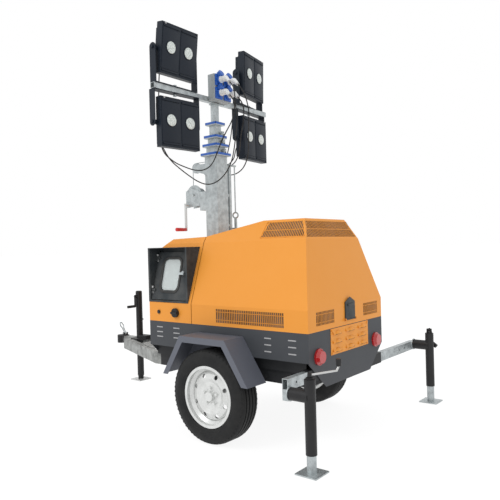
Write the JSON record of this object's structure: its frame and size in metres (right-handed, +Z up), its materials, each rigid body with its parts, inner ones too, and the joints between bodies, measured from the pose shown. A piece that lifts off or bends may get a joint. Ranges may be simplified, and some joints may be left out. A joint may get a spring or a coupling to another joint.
{
  "type": "towable lighting tower generator",
  "caption": "Towable lighting tower: diesel generating set under a tipping canopy, telescopic crank-up mast with floodlights, outrigger jacks, drawbar and road wheels",
  "frame": {"origin": "on level ground directly under the middle of the axle, on the trailer's centreline", "axes": "+X rearwards (away from the coupler), +Y to the trailer's right-hand side, +Z up; metres"},
  "size_m": [2.6623, 1.938, 2.9148],
  "materials": {
    "dark_chassis_paint": "satin",
    "galvanised_steel": "dull galvanised",
    "black_metal": "satin",
    "silver_wheel_paint": "satin metallic",
    "tyre_rubber": "matte",
    "grey_body_paint": "satin",
    "orange_body_paint": "gloss",
    "dark_grey_paint": "satin",
    "red_lens": "gloss",
    "clear_pane": "clear",
    "black_plastic": "matte",
    "grey_plastic": "matte",
    "white_plastic": "matte"
  },
  "bodies": {
    "chassis": {"chassis_frame": "dark_chassis_paint", "drawbar": "galvanised_steel", "coupler_housing": "black_metal", "mudguards": "grey_body_paint", "lower_body": "grey_body_paint", "rear_panel": "orange_body_paint", "tail_lights": "red_lens", "canopy_front": "orange_body_paint", "door_surround": "dark_grey_paint", "control_panel": "dark_chassis_paint", "fuel_tank": "black_plastic", "genset": "black_metal", "radiator": "dark_chassis_paint", "battery": "black_plastic", "front_jack_tube": "galvanised_steel"},
    "coupler_handle": {"coupler_handle": "galvanised_steel"},
    "wheel_left": {"wheel_left": "silver_wheel_paint", "tyre_left": "tyre_rubber"},
    "wheel_right": {"wheel_right": "silver_wheel_paint", "tyre_right": "tyre_rubber"},
    "hood": {"canopy_hood": "orange_body_paint"},
    "hood_latch": {"hood_latch": "dark_grey_paint"},
    "door": {"control_door": "dark_grey_paint", "door_window": "clear_pane"},
    "door_latch": {"door_latch": "galvanised_steel"},
    "emergency_stop": {"emergency_stop": "red_lens"},
    "fuel_cap": {"fuel_cap": "black_plastic"},
    "cooling_fan": {"cooling_fan": "black_metal"},
    "mast_base": {"mast_section_1": "galvanised_steel"},
    "mast_second": {"mast_section_2": "galvanised_steel"},
    "mast_third": {"mast_section_3": "galvanised_steel"},
    "mast_fourth": {"mast_section_4": "galvanised_steel"},
    "mast_top": {"mast_head": "galvanised_steel", "junction_box": "grey_plastic", "lamp_plugs": "white_plastic", "lamp_cable_left_lower": "black_plastic", "lamp_cable_left_upper": "black_plastic", "lamp_cable_right_lower": "black_plastic", "lamp_cable_right_upper": "black_plastic"},
    "winch_drum": {"winch_drum": "galvanised_steel"},
    "winch_crank": {"winch_crank": "galvanised_steel"},
    "mast_pulley": {"mast_pulley": "galvanised_steel"},
    "front_jack_leg": {"front_jack_leg": "galvanised_steel"},
    "front_jack_crank": {"front_jack_crank": "black_metal"},
    "outrigger_left": {"outrigger_left": "galvanised_steel"},
    "rear_jack_left": {"rear_jack_tube_left": "black_metal"},
    "rear_leg_left": {"rear_jack_leg_left": "galvanised_steel"},
    "rear_crank_left": {"rear_jack_crank_left": "black_metal"},
    "yoke_left_upper": {"lamp_yoke_left_upper": "black_metal"},
    "lamp_left_upper": {"lamp_left_upper": "black_metal"},
    "yoke_left_lower": {"lamp_yoke_left_lower": "black_metal"},
    "lamp_left_lower": {"lamp_left_lower": "black_metal"},
    "outrigger_right": {"outrigger_right": "galvanised_steel"},
    "rear_jack_right": {"rear_jack_tube_right": "black_metal"},
    "rear_leg_right": {"rear_jack_leg_right": "galvanised_steel"},
    "rear_crank_right": {"rear_jack_crank_right": "black_metal"},
    "yoke_right_upper": {"lamp_yoke_right_upper": "black_metal"},
    "lamp_right_upper": {"lamp_right_upper": "black_metal"},
    "yoke_right_lower": {"lamp_yoke_right_lower": "black_metal"},
    "lamp_right_lower": {"lamp_right_lower": "black_metal"}
  },
  "joints": [
    {"name": "wheel_left_spin", "type": "hinge", "parent": "chassis", "child": "wheel_left", "pos_m": [0, -0.6, 0.312], "axis": [0, 1, 0], "continuous": true},
    {"name": "wheel_right_spin", "type": "hinge", "parent": "chassis", "child": "wheel_right", "pos_m": [0, 0.6, 0.312], "axis": [0, 1, 0], "continuous": true},
    {"name": "coupler_handle_lift", "type": "hinge", "parent": "chassis", "child": "coupler_handle", "pos_m": [-1.66, 0, 0.518], "axis": [0, 1, 0], "range_deg": [0, 25]},
    {"name": "hood_lift", "type": "hinge", "parent": "chassis", "child": "hood", "pos_m": [-0.3, 0, 1.386], "axis": [0, -1, 0], "range_deg": [0, 50]},
    {"name": "hood_latch_turn", "type": "hinge", "parent": "hood", "child": "hood_latch", "pos_m": [0.694, 0.018, 0.789], "axis": [0, 1, 0], "range_deg": [0, 50]},
    {"name": "door_swing", "type": "hinge", "parent": "chassis", "child": "door", "pos_m": [-0.716, -0.483, 0.987], "axis": [0, -0.2425, -0.9701], "range_deg": [0, 95]},
    {"name": "door_latch_turn", "type": "hinge", "parent": "door", "child": "door_latch", "pos_m": [-0.418, -0.44425, 1.11], "axis": [0, -0.9701, 0.2425], "range_deg": [0, 90]},
    {"name": "emergency_stop_press", "type": "slide", "parent": "chassis", "child": "emergency_stop", "axis": [0, 1, 0], "range_m": [0, 0.005], "stiffness_N_per_m": 1500},
    {"name": "fuel_cap_turn", "type": "hinge", "parent": "chassis", "child": "fuel_cap", "pos_m": [-0.456, -0.5, 0.825], "axis": [0, -1, 0], "range_deg": [0, 90]},
    {"name": "cooling_fan_spin", "type": "hinge", "parent": "chassis", "child": "cooling_fan", "pos_m": [0.55, 0, 0.684], "axis": [1, 0, 0], "continuous": true},
    {"name": "mast_rotation", "type": "hinge", "parent": "chassis", "child": "mast_base", "pos_m": [-0.471, 0, 0.512], "axis": [0, 0, 1], "range_deg": [-90, 90]},
    {"name": "mast_slide_1", "type": "slide", "parent": "mast_base", "child": "mast_second", "axis": [0, 0, 1], "range_m": [0, 1.25]},
    {"name": "mast_slide_2", "type": "slide", "parent": "mast_second", "child": "mast_third", "axis": [0, 0, 1], "range_m": [0, 1.25]},
    {"name": "mast_slide_3", "type": "slide", "parent": "mast_third", "child": "mast_fourth", "axis": [0, 0, 1], "range_m": [0, 1.25]},
    {"name": "mast_slide_4", "type": "slide", "parent": "mast_fourth", "child": "mast_top", "axis": [0, 0, 1], "range_m": [0, 1.25]},
    {"name": "winch_drum_turn", "type": "hinge", "parent": "mast_base", "child": "winch_drum", "pos_m": [-0.687, 0, 1.727], "axis": [0, 1, 0], "range_deg": [0, 1752]},
    {"name": "winch_crank_turn", "type": "hinge", "parent": "mast_base", "child": "winch_crank", "pos_m": [-0.745, 0, 1.647], "axis": [0, -1, 0], "range_deg": [0, 8962]},
    {"name": "mast_pulley_turn", "type": "hinge", "parent": "mast_base", "child": "mast_pulley", "pos_m": [-0.687, 0, 1.95], "axis": [0, 1, 0], "range_deg": [0, 1752]},
    {"name": "lamp_left_upper_pan", "type": "hinge", "parent": "mast_top", "child": "yoke_left_upper", "pos_m": [-0.471, -0.435, 2.46], "axis": [0, 0, 1], "range_deg": [-25, 25]},
    {"name": "lamp_left_upper_tilt", "type": "hinge", "parent": "yoke_left_upper", "child": "lamp_left_upper", "pos_m": [-0.471, -0.435, 2.735], "axis": [0, 1, 0], "range_deg": [-30, 30]},
    {"name": "lamp_left_lower_pan", "type": "hinge", "parent": "mast_top", "child": "yoke_left_lower", "pos_m": [-0.471, -0.435, 2.46], "axis": [0, 0, 1], "range_deg": [-25, 25]},
    {"name": "lamp_left_lower_tilt", "type": "hinge", "parent": "yoke_left_lower", "child": "lamp_left_lower", "pos_m": [-0.471, -0.435, 2.205], "axis": [0.0872, 0.9962, 0], "range_deg": [-30, 30]},
    {"name": "lamp_right_upper_pan", "type": "hinge", "parent": "mast_top", "child": "yoke_right_upper", "pos_m": [-0.471, 0.435, 2.46], "axis": [0, 0, 1], "range_deg": [-25, 25]},
    {"name": "lamp_right_upper_tilt", "type": "hinge", "parent": "yoke_right_upper", "child": "lamp_right_upper", "pos_m": [-0.471, 0.435, 2.735], "axis": [-0.1908, 0.9816, 0], "range_deg": [-30, 30]},
    {"name": "lamp_right_lower_pan", "type": "hinge", "parent": "mast_top", "child": "yoke_right_lower", "pos_m": [-0.471, 0.435, 2.46], "axis": [0, 0, 1], "range_deg": [-25, 25]},
    {"name": "lamp_right_lower_tilt", "type": "hinge", "parent": "yoke_right_lower", "child": "lamp_right_lower", "pos_m": [-0.471, 0.435, 2.205], "axis": [-0.1045, 0.9945, 0], "range_deg": [-30, 30]},
    {"name": "front_jack_slide", "type": "slide", "parent": "chassis", "child": "front_jack_leg", "axis": [0, 0, -1], "range_m": [0, 0.11]},
    {"name": "front_jack_crank_turn", "type": "hinge", "parent": "chassis", "child": "front_jack_crank", "pos_m": [-1.455, -0.04, 0.872], "axis": [0, 1, 0], "range_deg": [0, 2526]},
    {"name": "outrigger_left_slide", "type": "slide", "parent": "chassis", "child": "outrigger_left", "axis": [0, -1, 0], "range_m": [0, 0.3]},
    {"name": "rear_jack_left_swivel", "type": "hinge", "parent": "outrigger_left", "child": "rear_jack_left", "pos_m": [0.7, -0.688, 0.435], "axis": [-1, 0, 0], "range_deg": [0, 90]},
    {"name": "rear_leg_left_slide", "type": "slide", "parent": "rear_jack_left", "child": "rear_leg_left", "axis": [0, 0, -1], "range_m": [-0.09, 0.2]},
    {"name": "rear_crank_left_turn", "type": "hinge", "parent": "rear_jack_left", "child": "rear_crank_left", "pos_m": [0.812, -0.688, 0.535], "axis": [0, 0, 1], "range_deg": [-2068, 4589]},
    {"name": "outrigger_right_slide", "type": "slide", "parent": "chassis", "child": "outrigger_right", "axis": [0, 1, 0], "range_m": [-0.36, 0]},
    {"name": "rear_jack_right_swivel", "type": "hinge", "parent": "outrigger_right", "child": "rear_jack_right", "pos_m": [0.7, 1.1, 0.456], "axis": [1, 0, 0], "range_deg": [0, 90]},
    {"name": "rear_leg_right_slide", "type": "slide", "parent": "rear_jack_right", "child": "rear_leg_right", "axis": [0, 0, -1], "range_m": [-0.09, 0.2]},
    {"name": "rear_crank_right_fold", "type": "hinge", "parent": "rear_jack_right", "child": "rear_crank_right", "pos_m": [0.812, 1.1, 0.58], "axis": [1, 0, 0], "range_deg": [0, 100]}
  ],
  "couplings": [
    {"joint": "mast_slide_2", "follows": "mast_slide_1", "ratio": 1},
    {"joint": "mast_slide_3", "follows": "mast_slide_1", "ratio": 1},
    {"joint": "mast_slide_4", "follows": "mast_slide_1", "ratio": 1},
    {"joint": "winch_drum_turn", "follows": "mast_slide_1", "rad_per_m": 24.39},
    {"joint": "winch_crank_turn", "follows": "mast_slide_1", "rad_per_m": 125},
    {"joint": "mast_pulley_turn", "follows": "mast_slide_1", "rad_per_m": 24.39},
    {"joint": "front_jack_crank_turn", "follows": "front_jack_slide", "rad_per_m": 400},
    {"joint": "rear_crank_left_turn", "follows": "rear_leg_left_slide", "rad_per_m": 400}
  ]
}
